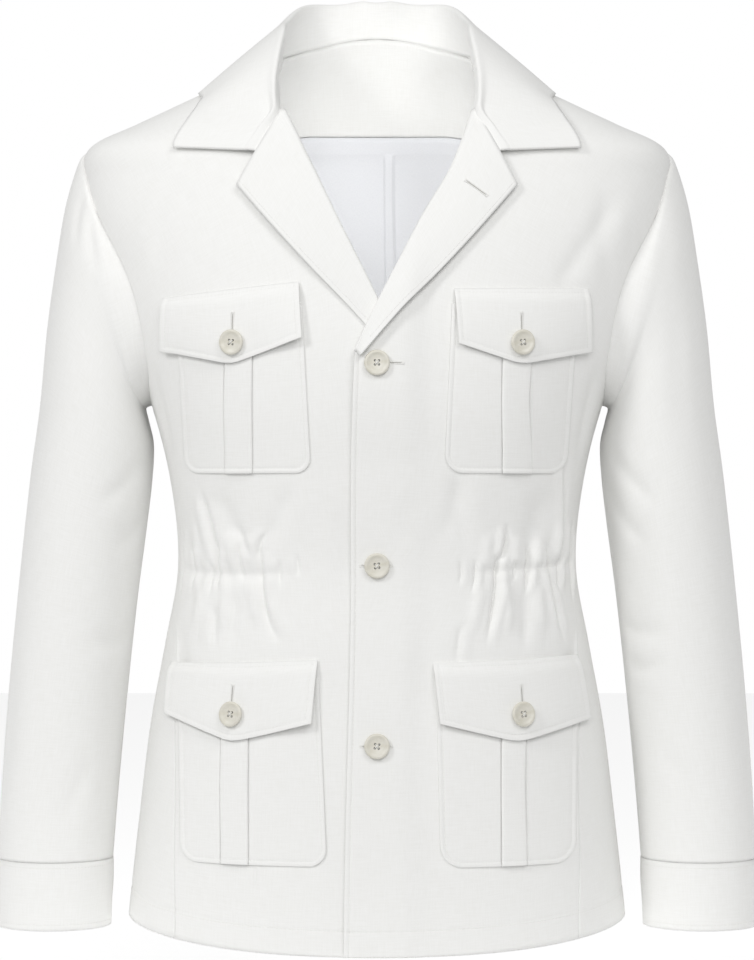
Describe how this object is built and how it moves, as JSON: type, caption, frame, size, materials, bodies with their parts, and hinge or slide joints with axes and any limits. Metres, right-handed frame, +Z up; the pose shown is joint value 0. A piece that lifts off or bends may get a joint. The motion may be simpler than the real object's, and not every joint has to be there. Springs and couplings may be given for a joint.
{
  "type": "safari jacket",
  "caption": "Worn linen safari jacket with a notched collar, turned lapels, a buttoned front, pleated patch pockets under pointed flaps, a gathered waist and long cuffed sleeves.",
  "frame": {"origin": "midway between the two side neck points, on the wearer's shoulders", "axes": "+Z up; -Y is the front, which the wearer faces; +X is the wearer's left"},
  "size_m": [0.6198, 0.2895, 0.7752],
  "materials": {
    "linen": "off-white slubby plain-weave linen, matt",
    "lining": "pale grey-white smooth lining with a low sheen",
    "button": "pale ivory, satin, raised rim and four holes"
  },
  "bodies": {
    "root": {"front_left": "linen", "front_right": "linen", "back": "linen", "lapel_left": "linen", "lapel_right": "linen", "collar": "linen", "back_facing": "linen", "sleeve_left": "linen", "sleeve_right": "linen", "cuff_left": "linen", "cuff_right": "linen", "pocket_chest_left": "linen", "pocket_chest_right": "linen", "pocket_hip_left": "linen", "pocket_hip_right": "linen", "flap_chest_left": "linen", "flap_chest_right": "linen", "flap_hip_left": "linen", "flap_hip_right": "linen", "back_lining": "lining", "button_front_1": "button", "button_front_2": "button", "button_front_3": "button", "button_chest_left": "button", "button_chest_right": "button", "button_hip_left": "button", "button_hip_right": "button"}
  },
  "joints": []
}
